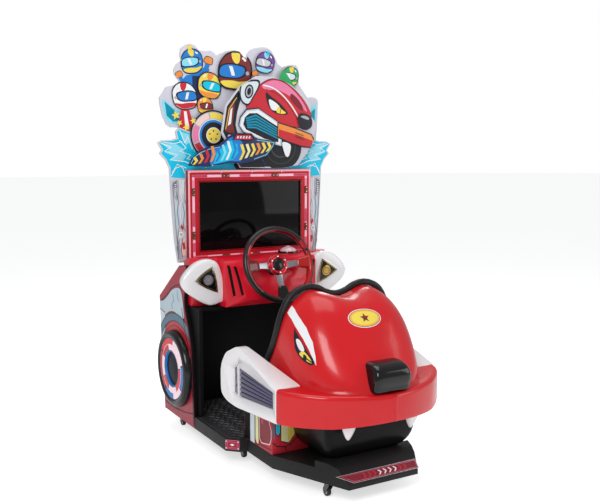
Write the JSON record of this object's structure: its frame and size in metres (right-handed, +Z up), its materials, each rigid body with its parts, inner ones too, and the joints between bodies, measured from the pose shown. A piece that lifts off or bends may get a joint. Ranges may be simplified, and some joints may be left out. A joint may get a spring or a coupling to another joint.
{
  "type": "sit-down racing arcade cabinet",
  "caption": "Child-size sit-down racing cabinet: screen and layered marquee over a moulded dash with wheel and pedals, car-nose seat pod on a low castered plinth.",
  "frame": {"origin": "centre of the bounding box in plan, on the floor under the caster wheels", "axes": "+X across the cabinet, to the driver's right; +Y from the seat towards the screen; +Z up"},
  "size_m": [0.852, 1.316, 1.68],
  "materials": {
    "black_board": "black laminate on plywood",
    "black_tread": "black coated tread sheet",
    "printed_side": "printed film on plywood, red with pale blue panels",
    "zinc_steel": "zinc plated",
    "caster_tyre": "moulded",
    "black_steel": "black powder coat",
    "pedal_alloy": "cast, satin",
    "red_board": "red back-printed sheet",
    "clear_acrylic": "clear acrylic",
    "led_white": "white diffuser",
    "gloss_black": "black gloss",
    "printed_blue": "printed sheet, cyan and grey",
    "printed_board": "printed sheet, multi-colour",
    "printed_red": "printed sheet, red",
    "gloss_red": "red gel coat",
    "gloss_white": "white gel coat",
    "badge_metal": "printed aluminium",
    "button_clear": "translucent",
    "grip_rubber": "fine grain",
    "spoke_alloy": "brushed",
    "printed_disc": "printed disc with light ring",
    "grille_plastic": "dark grey-violet",
    "printed_pedestal": "printed film on plywood",
    "black_vinyl": "black vinyl over foam",
    "electronics_steel": "grey"
  },
  "bodies": {
    "cabinet": {"back_boards": "black_board", "badge_plates": "badge_metal", "base_plinth": "black_board", "bezel_cover": "clear_acrylic", "board_fixings": "zinc_steel", "bumper": "gloss_red", "caster_plates": "zinc_steel", "dash_console": "gloss_red", "dash_pods": "gloss_white", "dash_vents": "gloss_black", "electronics": "electronics_steel", "fangs": "gloss_white", "footwell_liner": "black_board", "jaw": "gloss_black", "lcd_monitor": "gloss_black", "led_bars": "led_white", "marquee_back_board": "printed_board", "marquee_banner_board": "printed_board", "marquee_car_board": "printed_red", "mast_frame": "black_steel", "nose_block": "gloss_black", "pedal_bracket": "black_steel", "pod_grilles": "grille_plastic", "screen_bezel": "red_board", "seat_back_cushion": "black_vinyl", "seat_cushion": "black_vinyl", "seat_pedestal": "printed_pedestal", "seat_shell": "gloss_red", "seat_trim": "black_vinyl", "side_panel_left": "printed_side", "side_panel_right": "printed_side", "side_pods": "gloss_white", "side_tyres": "gloss_black", "side_wheel_discs": "printed_disc", "start_button_ring": "gloss_black", "steering_bracket": "black_steel", "tread_plate": "black_tread", "wing_board": "printed_blue"},
    "steering_wheel": {"steering_shaft": "zinc_steel", "wheel_rim": "grip_rubber", "rim_inserts": "gloss_red", "wheel_spokes": "spoke_alloy", "hub_ring": "gloss_red", "hub_bolts": "zinc_steel"},
    "horn": {"horn_button": "grip_rubber"},
    "start_button": {"start_button_dome": "button_clear"},
    "gas": {"gas_pedal": "pedal_alloy"},
    "brake": {"brake_pedal": "pedal_alloy"},
    "door": {"service_door": "black_board"},
    "lock": {"door_lock": "zinc_steel"},
    "swivel_front_left": {"fork_front_left": "zinc_steel"},
    "swivel_front_right": {"fork_front_right": "zinc_steel"},
    "swivel_rear_left": {"fork_rear_left": "zinc_steel"},
    "swivel_rear_right": {"fork_rear_right": "zinc_steel"},
    "roller_front_left": {"wheel_front_left": "caster_tyre"},
    "roller_front_right": {"wheel_front_right": "caster_tyre"},
    "roller_mid_left": {"wheel_mid_left": "caster_tyre"},
    "roller_mid_right": {"wheel_mid_right": "caster_tyre"},
    "roller_rear_left": {"wheel_rear_left": "caster_tyre"},
    "roller_rear_right": {"wheel_rear_right": "caster_tyre"}
  },
  "joints": [
    {"name": "steering_turn", "type": "hinge", "parent": "cabinet", "child": "steering_wheel", "pos_m": [0, 0.173, 0.748], "axis": [0, -0.9397, 0.342], "range_deg": [-135, 135]},
    {"name": "horn_press", "type": "slide", "parent": "steering_wheel", "child": "horn", "axis": [0, -0.9397, 0.342], "range_m": [-0.003, 0], "stiffness_N_per_m": 400},
    {"name": "start_press", "type": "slide", "parent": "cabinet", "child": "start_button", "axis": [0, 0, 1], "range_m": [-0.004, 0], "stiffness_N_per_m": 400},
    {"name": "gas_press", "type": "hinge", "parent": "cabinet", "child": "gas", "pos_m": [0.062, 0.345, 0.139], "axis": [1, 0, 0], "range_deg": [-16, 0], "stiffness_Nm_per_rad": 6},
    {"name": "brake_press", "type": "hinge", "parent": "cabinet", "child": "brake", "pos_m": [-0.062, 0.345, 0.139], "axis": [1, 0, 0], "range_deg": [-16, 0], "stiffness_Nm_per_rad": 8},
    {"name": "service_door_swing", "type": "hinge", "parent": "cabinet", "child": "door", "pos_m": [-0.149, 0.64361, 0.33409], "axis": [0, 0.0814, 0.9967], "range_deg": [0, 105]},
    {"name": "door_lock_turn", "type": "hinge", "parent": "door", "child": "lock", "pos_m": [0.12, 0.63843, 0.33452], "axis": [0, 0.9967, -0.0814], "range_deg": [0, 90]},
    {"name": "swivel_turn_rear_left", "type": "hinge", "parent": "cabinet", "child": "swivel_rear_left", "pos_m": [-0.306, 0.499, 0.052], "axis": [0, 0, 1], "continuous": true},
    {"name": "roller_spin_rear_left", "type": "hinge", "parent": "swivel_rear_left", "child": "roller_rear_left", "pos_m": [-0.306, 0.513, 0.019], "axis": [1, 0, 0], "continuous": true},
    {"name": "swivel_turn_rear_right", "type": "hinge", "parent": "cabinet", "child": "swivel_rear_right", "pos_m": [0.306, 0.499, 0.052], "axis": [0, 0, 1], "continuous": true},
    {"name": "roller_spin_rear_right", "type": "hinge", "parent": "swivel_rear_right", "child": "roller_rear_right", "pos_m": [0.306, 0.513, 0.019], "axis": [1, 0, 0], "continuous": true},
    {"name": "roller_spin_mid_left", "type": "hinge", "parent": "cabinet", "child": "roller_mid_left", "pos_m": [-0.248, 0.021, 0.019], "axis": [1, 0, 0], "continuous": true},
    {"name": "roller_spin_mid_right", "type": "hinge", "parent": "cabinet", "child": "roller_mid_right", "pos_m": [0.248, 0.021, 0.019], "axis": [1, 0, 0], "continuous": true},
    {"name": "swivel_turn_front_left", "type": "hinge", "parent": "cabinet", "child": "swivel_front_left", "pos_m": [-0.16, -0.481, 0.052], "axis": [0, 0, 1], "continuous": true},
    {"name": "roller_spin_front_left", "type": "hinge", "parent": "swivel_front_left", "child": "roller_front_left", "pos_m": [-0.16, -0.467, 0.019], "axis": [1, 0, 0], "continuous": true},
    {"name": "swivel_turn_front_right", "type": "hinge", "parent": "cabinet", "child": "swivel_front_right", "pos_m": [0.16, -0.481, 0.052], "axis": [0, 0, 1], "continuous": true},
    {"name": "roller_spin_front_right", "type": "hinge", "parent": "swivel_front_right", "child": "roller_front_right", "pos_m": [0.16, -0.467, 0.019], "axis": [1, 0, 0], "continuous": true}
  ]
}
